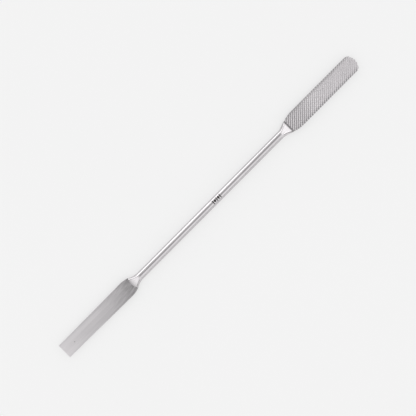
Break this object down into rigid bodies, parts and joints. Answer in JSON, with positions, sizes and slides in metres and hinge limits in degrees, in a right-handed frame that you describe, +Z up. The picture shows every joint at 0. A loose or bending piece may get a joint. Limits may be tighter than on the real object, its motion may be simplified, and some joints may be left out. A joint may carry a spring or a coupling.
{
  "type": "spudger",
  "caption": "Slim double-ended steel spudger: a round polished shank between a smooth, thin, square-tipped prying blade and a round-ended paddle with cross-cut teeth.",
  "frame": {"origin": "the point on the surface that the tool lies on, under its round shank's axis and at the middle of its overall length", "axes": "+X along the tool from the smooth blade to the cross-cut paddle, Y across both flats, +Z up out of the flat faces, away from the surface that the tool lies on"},
  "size_m": [0.18, 0.0082, 0.0035],
  "materials": {
    "polished_steel": "polished",
    "satin_steel": "satin",
    "crosscut_steel": "satin",
    "etched_mark": "matte"
  },
  "bodies": {
    "root": {"shank": "polished_steel", "smooth_blade": "satin_steel", "crosscut_paddle": "crosscut_steel"}
  },
  "joints": []
}
